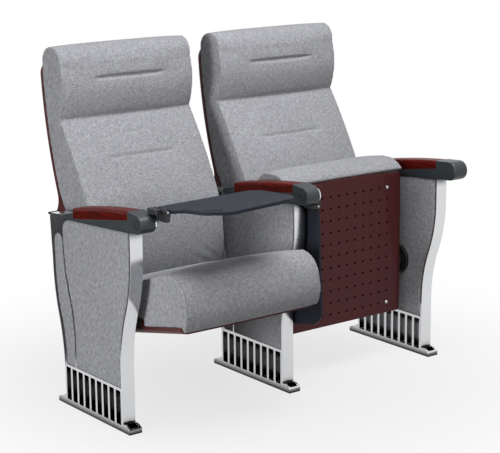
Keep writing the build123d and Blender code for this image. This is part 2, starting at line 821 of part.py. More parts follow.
        # Hub on the standard, with the thrust boss and the stop stud that runs in the slot
        hub_x = x + turn * hub_start
        with BuildPart() as hub:
            with BuildSketch(Plane.YZ.offset(hub_x)):
                with Locations((hinge_y, hinge_z)):
                    Circle(hub_radius)
            extrude(amount=-turn * hub_thickness)
            chamfer(hub.faces().sort_by(Axis.X)[-1 if turn < 0 else 0].edges(), length=edge_chamfer)
            with BuildSketch(Plane.YZ.offset(hub_x)):
                with Locations((hinge_y, hinge_z)):
                    Circle(hub_boss_radius)
            extrude(amount=-turn * (hub_start - plate_outer - thrust_clear))
            with BuildSketch(Plane.YZ.offset(hub_x)):
                stud_y = hinge_y + stud_orbit * cos(radians(stud_angle))
                stud_z = hinge_z + stud_orbit * sin(radians(stud_angle))
                with Locations((stud_y, stud_z)):
                    Circle(stud_radius)
            extrude(amount=-turn * (hub_start - pan_half_width))
            with BuildSketch(Plane.YZ.offset(hub_x)):
                with Locations((hinge_y, hinge_z)):
                    Circle(hinge_pin_radius + running_clear)
            extrude(amount=-turn * hub_start, mode=Mode.SUBTRACT)
        write(hub.part, f"hinge_hub_{hand}_{side}")

    # Hinge pins, one at each side of the seat
    with BuildPart() as pins:
        for turn in (-1, 1):
            with BuildSketch(Plane.YZ.offset(x + turn * pan_half_width)):
                with Locations((hinge_y, hinge_z)):
                    Circle(hinge_pin_radius)
            extrude(amount=turn * (hub_start + pocket_depth - pan_half_width))
    write(pins.part, f"hinge_pins_{hand}")

    # Round-headed screws through the pan's corners and the hinge plates
    with BuildPart() as screws:
        with BuildSketch(plan.offset(-pan_face_n)):
            with Locations(*corners):
                Circle(screw_head_radius)
        extrude(amount=screw_head_height, taper=screw_head_taper)
        with BuildSketch(plan.offset(-pan_face_n)):
            with Locations(*corners):
                Circle(screw_radius)
        extrude(amount=-(pan_thickness + frame_thickness))
        for turn in (-1, 1):
            with BuildSketch(profile.offset(-turn * plate_outer)):
                with Locations(*plate_screws):
                    Circle(screw_radius)
            extrude(amount=turn * plate_thickness)
    write(screws.part, f"seat_screws_{hand}")

    # Cushion: crowned, drawn in at its sides, seated between the pan's rims
    cushion_low_n = pan_inner_n + frame_thickness + soft_clear
    cushion_sections = []
    for share in crown_stations:
        reach = share * cushion_half_width
        draw = cushion_draw * share**4
        top_n = cushion_top_n - draw
        front_s = cushion_front_s - draw
        with BuildSketch(profile.offset(-reach)) as section:
            with BuildLine():
                lip_s = pan_front_s + pan_bow + lip_gap
                foot_front = (lip_front_s - draw / 2, lip_n)
                nose = (front_s, cushion_nose_n)
                brow = (cushion_top_front_s, top_n)
                heel = (cushion_top_rear_s, cushion_top_rear_n - draw)
                tail = (cushion_rear_s, cushion_nose_n / 2)
                Polyline(
                    (cushion_rear_s, cushion_low_n), (lip_s, cushion_low_n), (lip_s, lip_n), foot_front
                )
                ThreePointArc(foot_front, (front_s - nose_under_s, nose_under_n), nose)
                ThreePointArc(nose, (front_s - nose_over_s, top_n - nose_over_n), brow)
                ThreePointArc(brow, (seat_dip_s, top_n - seat_dip_n), heel)
                heel_round = (cushion_rear_s + heel_round_s, cushion_top_rear_n - heel_round_n - draw)
                ThreePointArc(heel, heel_round, tail)
                Line(tail, (cushion_rear_s, cushion_low_n))
            make_face()
        cushion_sections.append(section.sketch)
    with BuildPart() as cushion:
        loft(sections=cushion_sections)
        seat_half = flat_half + sqrt(inner_roll**2 - (roll_n - cushion_low_n) ** 2) - soft_clear
        seat_back_s = 2 * pan_rear_s
        for turn in (-1, 1):
            with BuildSketch(profile.offset(-turn * seat_half)):
                with Locations((seat_back_s, cushion_low_n - soft_clear)):
                    Rectangle(
                        rim_step_s + soft_clear - seat_back_s,
                        pan_rim_n + 2 * soft_clear - cushion_low_n,
                        align=(Align.MIN, Align.MIN),
                    )
                    Rectangle(
                        pan_front_s + pan_bow - seat_back_s,
                        pan_low_rim_n + 2 * soft_clear - cushion_low_n,
                        align=(Align.MIN, Align.MIN),
                    )
            extrude(amount=turn * (seat_half - pan_half_width), mode=Mode.SUBTRACT)
    write(cushion.part, f"seat_cushion_{hand}")

# Backrests
shell_foot_front_y = shell_foot_rear_y - shell_foot_depth
shell_face = [(point[0] - shell_thickness, point[1]) for point in (shell_top, shell_middle, shell_low)]
wedge_top_z = shell_foot_z + shell_wedge_height
for hand, x in seats.items():
    # Moulded plywood shell with a thick kicked-out foot
    with BuildPart() as shell:
        with BuildSketch(Plane.YZ.offset(x)):
            with BuildLine():
                sweep_back = ThreePointArc(shell_top, shell_middle, shell_low)
                TangentArc(shell_low, (shell_foot_rear_y, shell_foot_z), tangent=sweep_back % 1)
                Polyline(
                    (shell_foot_rear_y, shell_foot_z),
                    (shell_foot_front_y, shell_foot_z),
                    (shell_foot_front_y, wedge_top_z),
                    shell_face[2],
                )
                ThreePointArc(shell_face[2], shell_face[1], shell_face[0])
                Line(shell_face[0], shell_top)
            make_face()
        extrude(amount=shell_half_width, both=True)
        top_edges = shell.edges().filter_by(Axis.Y).group_by(Axis.Z)[-1]
        fillet(top_edges, radius=shell_corner)
        with BuildSketch(Plane.XY.offset(shell_foot_z)):
            with Locations((x - flange_bolt_x, flange_bolt_y), (x + flange_bolt_x, flange_bolt_y)):
                Circle(bolt_radius)
        extrude(amount=bolt_depth, mode=Mode.SUBTRACT)
    write(shell.part, f"back_shell_{hand}")

    # Cushion: crowned, drawn in at its sides, with a headrest crease and two sewn channels
    back_sections = []
    for share in crown_stations:
        reach = share * back_half_width
        draw = back_draw * share**4
        with BuildSketch(Plane.YZ.offset(x + reach)) as section:
            with BuildLine():
                foot_front = (back_foot_front[0] + draw / 3, back_foot_front[1] + draw)
                belly = (lumbar[0] + draw, lumbar[1])
                waist = (lumbar_top[0] + draw, lumbar_top[1])
                fold_line = (crease[0] + draw, crease[1])
                brow = (head_front[0] + draw, head_front[1])
                peak = (head_top[0], head_top[1] - draw / 2)
                nape = (shell_face[0][0] - soft_clear, shell_face[0][1])
                spine = (shell_face[1][0] - soft_clear, shell_face[1][1])
                hip = (shell_face[2][0] - soft_clear, shell_face[2][1])
                heel = (shell_foot_front_y - 2 * soft_clear, wedge_top_z)
                foot_round = (belly[0] + foot_round_y, (foot_front[1] + belly[1]) / 2 - foot_round_z)
                ThreePointArc(foot_front, foot_round, belly)
                TangentArc(belly, waist, tangent=(0, 1))
                chest = (
                    (waist[0] + fold_line[0]) / 2 - back_swell,
                    (waist[1] + fold_line[1]) / 2 + back_swell_lift,
                )
                ThreePointArc(waist, chest, fold_line)
                face_middle = ((fold_line[0] + brow[0]) / 2 - head_swell, (fold_line[1] + brow[1]) / 2)
                ThreePointArc(fold_line, face_middle, brow)
                ThreePointArc(brow, (brow[0] + brow_round_y, peak[1] - brow_round_z), peak)
                ThreePointArc(peak, (nape[0] - nape_round, peak[1] - nape_round), nape)
                ThreePointArc(nape, spine, hip)
                Polyline(
                    hip,
                    heel,
                    (heel[0], shell_foot_z - back_heel_drop),
                    (back_foot_rear[0], back_foot_rear[1] + draw),
                    foot_front,
                )
            make_face()
        back_sections.append(section.sketch)
    face_slope = (crease[0] - lumbar_top[0]) / (crease[1] - lumbar_top[1])
    channels = (
        (crease[0] - head_swell - channel_sink, head_channel_z),
        (lumbar_top[0] + (back_channel_z - lumbar_top[1]) * face_slope - back_swell, back_channel_z),
    )
    with BuildPart() as back:
        loft(sections=back_sections)
        with BuildSketch(Plane.YZ.offset(x)):
            with Locations(*channels):
                Circle(channel_radius)
        extrude(amount=channel_width / 2, both=True, mode=Mode.SUBTRACT)
    write(back.part, f"back_cushion_{hand}")

    # Steel brackets from the standards to the underside of the shell's foot
    bracket_drop_z = shell_foot_z - flange_thickness
    for turn, side in ((-1, "near"), (1, "far")):
        face_x = x + turn * hub_start
        with BuildPart() as carrier:
            with BuildSketch(Plane.YZ.offset(face_x)):
                Polygon(
                    (back_bracket_front_y, back_bracket_low_z),
                    (back_bracket_bend_y, back_bracket_low_z),
                    (flange_front_y, bracket_drop_z),
                    (shell_foot_rear_y, bracket_drop_z),
                    (shell_foot_rear_y, shell_foot_z),
                    (back_bracket_bend_y, back_bracket_high_z),
                    (back_bracket_front_y, back_bracket_high_z),
                    align=None,
                )
            extrude(amount=-turn * back_bracket_thickness)
            flange_depth = shell_foot_rear_y - flange_front_y
            flange_width = flange_reach - standard_half
            with BuildSketch(Plane.XY.offset(bracket_drop_z)):
                with Locations((face_x - turn * flange_width / 2, flange_front_y + flange_depth / 2)):
                    Rectangle(flange_width, flange_depth)
            extrude(amount=flange_thickness)
            with BuildSketch(Plane.YZ.offset(face_x)):
                with Locations(*bolt_spots):
                    Circle(bolt_radius)
            extrude(amount=-turn * back_bracket_thickness, mode=Mode.SUBTRACT)
            with BuildSketch(Plane.XY.offset(bracket_drop_z)):
                with Locations((x + turn * flange_bolt_x, flange_bolt_y)):
                    Circle(bolt_radius)
            extrude(amount=flange_thickness, mode=Mode.SUBTRACT)
        write(carrier.part, f"back_bracket_{hand}_{side}")

# Hexagon bolts of the back brackets
with BuildPart() as bolts:
    for x in seats.values():
        for turn in (-1, 1):
            with BuildSketch(Plane.YZ.offset(x + turn * (hub_start - back_bracket_thickness))):
                with Locations(*bolt_spots):
                    RegularPolygon(bolt_head_radius, 6)
            extrude(amount=-turn * bolt_head_height)
            with BuildSketch(Plane.YZ.offset(x + turn * (hub_start - back_bracket_thickness))):
                with Locations(*bolt_spots):
                    Circle(bolt_radius)
            extrude(amount=turn * (back_bracket_thickness + bolt_depth))
            with BuildSketch(Plane.XY.offset(shell_foot_z - flange_thickness)):
                with Locations((x + turn * flange_bolt_x, flange_bolt_y)):
                    RegularPolygon(bolt_head_radius, 6)
            extrude(amount=-bolt_head_height)
            with BuildSketch(Plane.XY.offset(shell_foot_z - flange_thickness)):
                with Locations((x + turn * flange_bolt_x, flange_bolt_y)):
                    Circle(bolt_radius)
            extrude(amount=flange_thickness + bolt_depth)
write(bolts.part, "back_bolts")
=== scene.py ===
import json
from math import pi, radians

import bpy
import numpy as np
from bpy.props import FloatProperty, FloatVectorProperty, IntProperty, PointerProperty
from mathutils import Matrix, Vector


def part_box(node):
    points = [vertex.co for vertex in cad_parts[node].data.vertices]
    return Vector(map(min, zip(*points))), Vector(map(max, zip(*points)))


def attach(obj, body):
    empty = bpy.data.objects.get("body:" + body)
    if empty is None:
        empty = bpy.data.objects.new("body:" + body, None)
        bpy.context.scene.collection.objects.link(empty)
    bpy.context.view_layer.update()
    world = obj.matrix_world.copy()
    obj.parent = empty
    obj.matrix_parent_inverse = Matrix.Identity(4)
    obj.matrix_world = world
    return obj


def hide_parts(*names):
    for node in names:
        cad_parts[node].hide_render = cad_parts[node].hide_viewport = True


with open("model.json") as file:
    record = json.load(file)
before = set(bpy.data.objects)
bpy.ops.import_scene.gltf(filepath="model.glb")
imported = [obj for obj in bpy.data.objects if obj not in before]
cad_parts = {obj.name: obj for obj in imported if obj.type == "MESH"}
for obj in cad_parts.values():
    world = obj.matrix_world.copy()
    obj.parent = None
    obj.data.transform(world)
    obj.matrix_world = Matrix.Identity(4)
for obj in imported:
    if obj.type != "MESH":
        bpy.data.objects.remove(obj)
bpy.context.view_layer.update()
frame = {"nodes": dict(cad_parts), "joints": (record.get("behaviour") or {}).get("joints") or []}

bl_info = {
    "name": "Tip-up Conference Seating",
    "version": (1, 0, 0),
    "blender": (4, 5, 0),
    "location": "View3D > Sidebar > Seating",
    "description": "Upholsters and finishes a two-place unit of tip-up seating",
    "category": "Object",
}

MM = 0.001
NODES = frame["nodes"]
HANDS = ("left", "right")
SEAT_CENTRE = {hand: sum(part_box(f"seat_pan_{hand}"), Vector()).x / 2 for hand in HANDS}
SEAT_HINGE = {
    hand: next(joint["pos_m"] for joint in frame["joints"] if joint["name"] == f"{hand}_seat_tip")
    for hand in HANDS
}

# The open seat slopes back by this much, and tips up by this turn
SEAT_SLOPE = radians(12)
TIP_TRAVEL = radians(78)

# Bands over which a cover goes from tacked down to free, measured from the seat's hinge
LIP_START = (110 * MM, 150 * MM)
RIM_TACK = (-4 * MM, 22 * MM)
LIP_TACK = (-42 * MM, -8 * MM)

# How far sideways a cover faces where its side seams run and on its flat sides, and how free those are
SEAM_TURN = (0.12, 0.4)
SIDE_TURN = (0.9, 0.99)
SIDE_GIVE = 0.5

PANEL_MESH = 4 * MM
STITCH_WIDTH = 3 * MM
CREASE_WIDTH = 4 * MM


def linear(code):
    """Turn an sRGB hex value into linear red, green and blue."""
    values = [int(code[i : i + 2], 16) / 255 for i in (0, 2, 4)]
    return [v / 12.92 if v <= 0.04045 else ((v + 0.055) / 1.055) ** 2.4 for v in values]


class SeatingUpholstery(bpy.types.PropertyGroup):
    """Fabric, padding and seams"""

    yarn_light: FloatVectorProperty(
        name="Light Yarn", description="Pale yarn of the heathered cloth", subtype="COLOR",
        default=linear("a2a3a7"), min=0, max=1,
    )
    yarn_dark: FloatVectorProperty(
        name="Dark Yarn", description="Dark yarn of the heathered cloth", subtype="COLOR",
        default=linear("78797e"), min=0, max=1,
    )
    yarn_length: FloatProperty(
        name="Yarn Length", description="Length of one fleck of colour in the yarn", unit="LENGTH",
        default=11 * MM, min=MM,
    )
    yarn_width: FloatProperty(
        name="Yarn Width", description="Spacing of the threads", unit="LENGTH",
        default=2.6 * MM, min=0.5 * MM,
    )
    voxel: FloatProperty(
        name="Pad Mesh Size", description="Size of the pads' mesh before they are swelled", unit="LENGTH",
        default=6 * MM, min=3 * MM,
    )
    inset: FloatProperty(
        name="Pad Inset", description="How much smaller a pad starts than its finished form", unit="LENGTH",
        default=2 * MM, min=0,
    )
    swell: FloatProperty(
        name="Pad Swell", description="The most that a point of a pad may move as it fills", unit="LENGTH",
        default=7 * MM, min=0,
    )
    pressure: FloatProperty(
        name="Fill Pressure", description="Pressure inside a pad as it fills", default=7.0,
    )
    fill_frames: IntProperty(
        name="Fill Frames", description="Steps in which a pad fills", default=20, min=2,
    )
    seam_depth: FloatProperty(
        name="Seam Depth", description="How deep a seam sinks", unit="LENGTH", default=2.2 * MM, min=0,
    )
    seam_inset: FloatProperty(
        name="Seam Inset", description="Distance of an edge seam from the pad's side", unit="LENGTH",
        default=7 * MM, min=0,
    )
    channel_depth: FloatProperty(
        name="Channel Depth", description="Depth of a sewn channel", unit="LENGTH", default=7 * MM, min=0,
    )
    channel_length: FloatProperty(
        name="Channel Length", description="Length of a sewn channel", unit="LENGTH",
        default=264 * MM, min=0,
    )
    head_channel: FloatProperty(
        name="Head Channel", description="Height of the channel in the headrest", unit="LENGTH",
        default=960 * MM,
    )
    back_channel: FloatProperty(
        name="Back Channel", description="Height of the channel in the back", unit="LENGTH",
        default=728 * MM,
    )
    back_taper: FloatProperty(
        name="Back Taper", description="How much narrower a back is at its front than at its shell",
        subtype="FACTOR", default=0.02, min=0, max=0.2,
    )
    crease: FloatProperty(
        name="Headrest Crease", description="Height of the crease under the headrest", unit="LENGTH",
        default=843 * MM,
    )


class SeatingFinishes(bpy.types.PropertyGroup):
    """Metal, wood and plastic"""

    aluminium: FloatVectorProperty(
        name="Aluminium", description="Polished casting", subtype="COLOR",
        default=linear("d6d7d9"), min=0, max=1,
    )
    # Painted shade: the dark colour that the aluminium takes in slots and pockets
    painted_recess_shade: FloatVectorProperty(
        name="Raw Metal", description="Unpolished inside of slots and pockets", subtype="COLOR",
        default=linear("1b1c1e"), min=0, max=1,
    )
    cap_wood: FloatVectorProperty(
        name="Armrest Wood", description="Stained and lacquered beech", subtype="COLOR",
        default=linear("5f1309"), min=0, max=1,
    )
    cap_grain: FloatVectorProperty(
        name="Armrest Grain", description="Dark grain of the armrest", subtype="COLOR",
        default=linear("360a06"), min=0, max=1,
    )
    shell_wood: FloatVectorProperty(
        name="Shell Wood", description="Stained plywood of the pan and the shell", subtype="COLOR",
        default=linear("4e1e1f"), min=0, max=1,
    )
    shell_grain: FloatVectorProperty(
        name="Shell Grain", description="Dark grain of the plywood", subtype="COLOR",
        default=linear("421819"), min=0, max=1,
    )
    slate: FloatVectorProperty(
        name="Slate Plastic", description="Moulded armrest housing", subtype="COLOR",
        default=linear("2d3337"), min=0, max=1,
    )
    laminate: FloatVectorProperty(
        name="Tablet Laminate", description="Writing tablet", subtype="COLOR",
        default=linear("20222b"), min=0, max=1,
    )
    black: FloatVectorProperty(
        name="Black", description="Powder coat and nylon", subtype="COLOR",
        default=linear("1c1d1f"), min=0, max=1,
    )
    grain_width: FloatProperty(
        name="Grain Width", description="Spacing of the wood's grain", unit="LENGTH",
        default=5 * MM, min=MM,
    )
    edge_round: FloatProperty(
        name="Edge Rounding", description="Rounding that catches light on hard edges", unit="LENGTH",
        default=1.5 * MM, min=0,
    )


class SeatingStage(bpy.types.PropertyGroup):
    """Floor, light and camera"""

    camera_place: FloatVectorProperty(
        name="Camera", description="Place of the camera", subtype="TRANSLATION", unit="LENGTH",
        default=(-2.8836, -3.78418, 1.58636),
    )
    azimuth: FloatProperty(
        name="Azimuth", description="Turn of the view", subtype="ANGLE", default=radians(-37.14),
    )
    elevation: FloatProperty(
        name="Elevation", description="Height of the view", subtype="ANGLE", default=radians(13.02),
    )
    roll: FloatProperty(
        name="Roll", description="Roll of the view", subtype="ANGLE", default=radians(-0.57),
    )
    lens: FloatProperty(name="Lens", description="Focal length in millimetres", default=113.82, min=10)
    floor_colour: FloatVectorProperty(
        name="Floor", description="Pale floor", subtype="COLOR", default=linear("a0a0a0"), min=0, max=1,
    )
    # The flag paints dark reflections: a black sheet that only mirrors and gloss see
    flag_centre: FloatVectorProperty(
        name="Flag Centre", description="Middle of the dark cloth behind the unit that darkens reflections",
        subtype="XYZ", unit="LENGTH", size=2, default=(-1.6, 2.2),
    )
    flag_size: FloatVectorProperty(
        name="Flag Size", description="Width and depth of the dark cloth",
        subtype="XYZ", unit="LENGTH", size=2, default=(4.4, 3.4),
    )
    floor_reach: FloatProperty(
        name="Floor Reach", description="Where the floor has faded into the backdrop", unit="LENGTH",
        default=1.5, min=1,
    )


def node(tree, kind, links=None, **settings):
    """Add a node, set its values and feed its inputs from sockets or plain values."""
    made = tree.nodes.new(kind)
    for name, value in settings.items():
        setattr(made, name, value)
    for name, source in (links or {}).items():
        if isinstance(source, bpy.types.NodeSocket):
            tree.links.new(source, made.inputs[name])
        else:
            made.inputs[name].default_value = source
    return made


def surface(name, **values):
    """Start a material with one shader whose plain values are set on its sockets."""
    material = bpy.data.materials.new(name)
    material.use_nodes = True
    tree = material.node_tree
    tree.nodes.clear()
    shader = node(tree, "ShaderNodeBsdfPrincipled", {k.replace("_", " "): v for k, v in values.items()})
    node(tree, "ShaderNodeOutputMaterial", {"Surface": shader.outputs["BSDF"]})
    return material, tree, shader


def heathered_cloth():
    """Woven wool blend: mottled pale and dark yarn, soft sheen and a faint relief of threads."""
    size = bpy.context.scene.seating_upholstery
    material, tree, shader = surface(
        "heathered_wool_cloth", Roughness=0.92, Specular_IOR_Level=0.2,
        Sheen_Weight=0.25, Sheen_Roughness=0.55,
    )
    place = node(tree, "ShaderNodeTexCoord").outputs["Object"]
    along, across = 1 / size.yarn_length, 1 / size.yarn_width
    weft = node(tree, "ShaderNodeMapping", {"Vector": place, "Scale": (along, across, across)})
    warp = node(tree, "ShaderNodeMapping", {"Vector": place, "Scale": (across, along, along)})
    weft_fleck = node(tree, "ShaderNodeTexNoise", {"Vector": weft.outputs[0], "Scale": 1.0, "Detail": 2.0})
    warp_fleck = node(tree, "ShaderNodeTexNoise", {"Vector": warp.outputs[0], "Scale": 1.0, "Detail": 2.0})
    fleck = node(
        tree, "ShaderNodeMath", {0: weft_fleck.outputs["Fac"], 1: warp_fleck.outputs["Fac"]},
        operation="ADD",
    )
    spread = node(
        tree, "ShaderNodeMapRange",
        {"Value": fleck.outputs[0], "From Min": 0.72, "From Max": 1.28, "To Min": 0.0, "To Max": 1.0},
    )
    yarn = node(
        tree, "ShaderNodeMix",
        {"Factor": spread.outputs[0], 6: (*size.yarn_dark, 1), 7: (*size.yarn_light, 1)}, data_type="RGBA",
    )
    # Slow drift of tone over a hand's width, as in dyed lots and brushed nap
    nap = node(tree, "ShaderNodeTexNoise", {"Vector": place, "Scale": 1 / (110 * MM), "Detail": 3.0})
    drift = node(
        tree, "ShaderNodeMapRange", {"Value": nap.outputs["Fac"], "To Min": 0.93, "To Max": 1.06},
    )
    tone = node(
        tree, "ShaderNodeHueSaturation", {"Color": yarn.outputs[2], "Value": drift.outputs[0]},
    )
    tree.links.new(tone.outputs[0], shader.inputs["Base Color"])
    # Threads of 1.3 mm are too fine to show, so they are drawn twice as wide
    threads = node(
        tree, "ShaderNodeTexWave",
        {"Vector": place, "Scale": pi / (10 * size.yarn_width), "Distortion": 1.5}, bands_direction="X",
    )
    relief = node(tree, "ShaderNodeMath", {0: threads.outputs["Fac"], 1: fleck.outputs[0]}, operation="ADD")
    bump = node(
        tree, "ShaderNodeBump", {"Height": relief.outputs[0], "Strength": 0.35, "Distance": 0.8 * MM},
    )
    tree.links.new(bump.outputs[0], shader.inputs["Normal"])
    return material


def polished_aluminium():
    """Cast and buffed aluminium: a bright wavy mirror, with painted shade that darkens it where ambient
    occlusion finds slots and pockets.
    """
    size = bpy.context.scene.seating_finishes
    material, tree, shader = surface("polished_cast_aluminium", Metallic=1.0)
    place = node(tree, "ShaderNodeTexCoord").outputs["Object"]
    # Painted shade: the metal's colour goes dark and raw where ambient occlusion finds slots and pockets
    reach = node(tree, "ShaderNodeAmbientOcclusion", {"Distance": 30 * MM}, samples=8)
    unshaded_share = node(
        tree, "ShaderNodeMapRange", {"Value": reach.outputs["AO"], "From Min": 0.62, "From Max": 0.97},
    )
    metal = node(
        tree, "ShaderNodeMix",
        {"Factor": unshaded_share.outputs[0], 6: (*size.painted_recess_shade, 1), 7: (*size.aluminium, 1)}, data_type="RGBA",
    )
    tree.links.new(metal.outputs[2], shader.inputs["Base Color"])
    haze = node(tree, "ShaderNodeTexNoise", {"Vector": place, "Scale": 1 / (55 * MM), "Detail": 4.0})
    rough = node(tree, "ShaderNodeMapRange", {"Value": haze.outputs["Fac"], "To Min": 0.1, "To Max": 0.24})
    tree.links.new(rough.outputs[0], shader.inputs["Roughness"])
    edge = node(tree, "ShaderNodeBevel", {"Radius": size.edge_round}, samples=4)
    waves = node(tree, "ShaderNodeTexNoise", {"Vector": place, "Scale": 1 / (33 * MM), "Detail": 1.0})
    bump = node(
        tree, "ShaderNodeBump",
        {"Height": waves.outputs["Fac"], "Strength": 0.12, "Distance": MM, "Normal": edge.outputs[0]},
    )
    tree.links.new(bump.outputs[0], shader.inputs["Normal"])
    return material


def lacquered_wood(name, pale, dark, along, coat, rough, shine):
    """Stained wood under clear lacquer: fine dark grain along one direction and a clear reflection."""
    size = bpy.context.scene.seating_finishes
    material, tree, shader = surface(
        name, Roughness=rough, Specular_IOR_Level=shine,
        Coat_Weight=coat, Coat_Roughness=0.1, Coat_IOR=1.45,
    )
    place = node(tree, "ShaderNodeTexCoord").outputs["Object"]
    fine = 1 / size.grain_width
    scale = [fine / 14 if axis in along else fine for axis in "XYZ"]
    grain = node(tree, "ShaderNodeMapping", {"Vector": place, "Scale": scale})
    streak = node(
        tree, "ShaderNodeTexNoise",
        {"Vector": grain.outputs[0], "Scale": 1.0, "Detail": 5.0, "Roughness": 0.6, "Distortion": 0.4},
    )
    spread = node(
        tree, "ShaderNodeMapRange",
        {"Value": streak.outputs["Fac"], "From Min": 0.35, "From Max": 0.68},
    )
    stain = node(
        tree, "ShaderNodeMix",
        {"Factor": spread.outputs[0], 6: (*dark, 1), 7: (*pale, 1)}, data_type="RGBA",
    )
    tree.links.new(stain.outputs[2], shader.inputs["Base Color"])
    edge = node(tree, "ShaderNodeBevel", {"Radius": size.edge_round}, samples=4)
    bump = node(
        tree, "ShaderNodeBump",
        {
            "Height": streak.outputs["Fac"], "Strength": 0.06, "Distance": 0.5 * MM,
            "Normal": edge.outputs[0],
        },
    )
    tree.links.new(bump.outputs[0], shader.inputs["Normal"])
    tree.links.new(edge.outputs[0], shader.inputs["Coat Normal"])
    return material


def grained_solid(name, colour, rough, grit, depth, metallic=0.0, shine=0.4):
    """Moulded plastic, laminate or coated steel: one colour with the fine grain of its mould or coat."""
    size = bpy.context.scene.seating_finishes
    material, tree, shader = surface(name, Metallic=metallic, Specular_IOR_Level=shine)
    place = node(tree, "ShaderNodeTexCoord").outputs["Object"]
    grain = node(tree, "ShaderNodeTexNoise", {"Vector": place, "Scale": 1 / grit, "Detail": 2.0})
    cloud = node(tree, "ShaderNodeTexNoise", {"Vector": place, "Scale": 1 / (70 * MM), "Detail": 3.0})
    lift = node(tree, "ShaderNodeMapRange", {"Value": cloud.outputs["Fac"], "To Min": 0.88, "To Max": 1.12})
    tone = node(
        tree, "ShaderNodeHueSaturation", {"Color": (*colour, 1), "Value": lift.outputs[0]},
    )
    tree.links.new(tone.outputs[0], shader.inputs["Base Color"])
    gloss = node(
        tree, "ShaderNodeMapRange",
        {"Value": cloud.outputs["Fac"], "To Min": rough * 0.85, "To Max": rough * 1.15},
    )
    tree.links.new(gloss.outputs[0], shader.inputs["Roughness"])
    edge = node(tree, "ShaderNodeBevel", {"Radius": size.edge_round}, samples=4)
    bump = node(
        tree, "ShaderNodeBump",
        {
            "Height": grain.outputs["Fac"], "Strength": depth, "Distance": 0.3 * MM,
            "Normal": edge.outputs[0],
        },
    )
    tree.links.new(bump.outputs[0], shader.inputs["Normal"])
    return material


def coat_nodes(material, *starts):
    """Give a finish to every rigid piece whose name starts in one of these ways."""
    for name, piece in NODES.items():
        if name.startswith(starts):
            piece.data.materials.clear()
            piece.data.materials.append(material)


def applied(piece):
    """Replace a piece's mesh by what its modifiers make of it."""
    bpy.context.view_layer.update()
    graph = bpy.context.evaluated_depsgraph_get()
    mesh = bpy.data.meshes.new_from_object(piece.evaluated_get(graph))
    piece.modifiers.clear()
    piece.data = mesh
    return piece


def points(mesh):
    """Places of a mesh's vertices as rows."""
    flat = np.empty(len(mesh.vertices) * 3, np.float32)
    mesh.vertices.foreach_get("co", flat)
    return flat.reshape(-1, 3).astype(float)


def normals(mesh):
    """Directions in which a mesh's vertices face."""
    flat = np.empty(len(mesh.vertices) * 3, np.float32)
    mesh.vertex_normals.foreach_get("vector", flat)
    return flat.reshape(-1, 3).astype(float)


def move_to(mesh, places):
    """Put a mesh's vertices at these places."""
    mesh.vertices.foreach_set("co", places.astype(np.float32).ravel())
    mesh.update()


def even_mesh(node_name, name, voxel):
    """A new piece in the form of a soft solid, with an even closed mesh."""
    piece = bpy.data.objects.new(name, NODES[node_name].data.copy())
    bpy.context.scene.collection.objects.link(piece)
    piece.modifiers.new("join", "WELD").merge_threshold = 0.01 * MM
    even = piece.modifiers.new("even", "REMESH")
    even.mode = "VOXEL"
    even.voxel_size = voxel
    return applied(piece)


def smooth_step(values, low, high):
    """0 below low, 1 above high, with a smooth change between."""
    share = np.clip((values - low) / (high - low), 0, 1)
    return share * share * (3 - 2 * share)


def fill_pad(piece, free):
    """Shrink a pad between its side seams, blow it up as cloth and limit how far it swells."""
    size = bpy.context.scene.seating_upholstery
    mesh = piece.data
    turned = np.abs(normals(mesh)[:, 0])
    seams = smooth_step(turned, *SEAM_TURN)
    free = free * (1 - seams * (1 - SIDE_GIVE * smooth_step(turned, *SIDE_TURN)))
    start = points(mesh) - normals(mesh) * (size.inset * free)[:, None]
    move_to(mesh, start)
    held = piece.vertex_groups.new(name="held")
    for index, share in enumerate(free):
        held.add([index], 1 - float(share), "REPLACE")
    cloth = piece.modifiers.new("cover", "CLOTH")
    cloth.settings.vertex_group_mass = "held"
    cloth.settings.quality = 5
    cloth.settings.mass = 0.3
    cloth.settings.tension_stiffness = 15
    cloth.settings.compression_stiffness = 15
    cloth.settings.bending_stiffness = 1.5
    cloth.settings.use_pressure = True
    cloth.settings.uniform_pressure_force = size.pressure
    cloth.settings.effector_weights.gravity = 0
    cloth.collision_settings.use_collision = False
    cloth.point_cache.frame_end = size.fill_frames
    for step in range(1, size.fill_frames + 1):
        bpy.context.scene.frame_set(step)
    applied(piece)
    bpy.context.scene.frame_set(1)
    move = points(piece.data) - start
    length = np.linalg.norm(move, axis=1)
    keep = np.minimum(1, size.swell / np.maximum(length, 1e-9))
    move_to(piece.data, start + move * keep[:, None])
    piece.vertex_groups.clear()
    return piece


def refine(piece):
    """Divide a pad's mesh once, so that seams show."""
    piece.modifiers.new("finer", "SUBSURF").levels = 1
    return applied(piece)


def dress(piece, material, body, node_name):
    """Shade a soft piece, give it its cloth and let it stand for its solid."""
    piece.data.materials.clear()
    piece.data.materials.append(material)
    piece.data.shade_smooth()
    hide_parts(node_name)
    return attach(piece, body)


def cloth_material():
    """The one cloth of the unit, made when it is first needed."""
    return bpy.data.materials.get("heathered_wool_cloth") or heathered_cloth()


def forward_share(places, step):
    """How far forward each point lies between the rear and the front of its level, 0 to 1."""
    level = np.round(places[:, 2] / step).astype(int)
    level -= level.min()
    front = np.full(level.max() + 1, np.inf)
    rear = -front
    np.minimum.at(front, level, places[:, 1])
    np.maximum.at(rear, level, places[:, 1])
    return (rear[level] - places[:, 1]) / np.maximum(rear - front, step)[level]


def sink(distance, width):
    """Depth profile of a seam, 1 on its line and fading over its width."""
    return np.exp(-((distance / width) ** 2))


def seen_directly(tree):
    """A value that is 1 where the eye, a mirror or glass shows the surface, and 0 for scattered light."""
    path = node(tree, "ShaderNodeLightPath").outputs
    seen = node(
        tree, "ShaderNodeMath", {0: path["Is Camera Ray"], 1: path["Is Glossy Ray"]}, operation="ADD",
    )
    clear = node(
        tree, "ShaderNodeMath", {0: seen.outputs[0], 1: path["Is Transmission Ray"]}, operation="ADD",
        use_clamp=True,
    )
    return clear.outputs[0]


